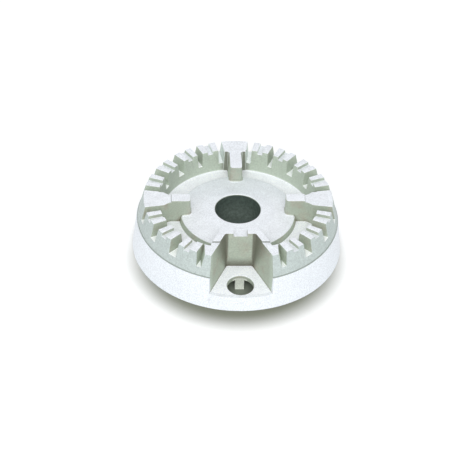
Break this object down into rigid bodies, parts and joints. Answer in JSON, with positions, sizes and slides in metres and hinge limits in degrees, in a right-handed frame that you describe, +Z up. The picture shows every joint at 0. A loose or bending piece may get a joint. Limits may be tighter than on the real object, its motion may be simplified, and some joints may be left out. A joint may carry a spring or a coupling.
{
  "type": "gas hob burner crown",
  "caption": "Cast aluminium flame-spreader crown of a hob burner: hollow skirt, toothed port ring, low disc with a throat, raised bosses and a notch for the spark electrode.",
  "frame": {"origin": "on the axis of the throat, at the plane that the foot of the skirt stands on", "axes": "+Z up along the axis of the throat, -Y out through the electrode notch, +Y out through the T-shaped boss"},
  "size_m": [0.0774, 0.0774, 0.0224],
  "materials": {
    "cast_aluminium": "matt shot-blasted casting, with finely turned skirt, seat, disc and floors that look paler and bluer"
  },
  "bodies": {
    "root": {"burner_crown": "cast_aluminium"}
  },
  "joints": []
}
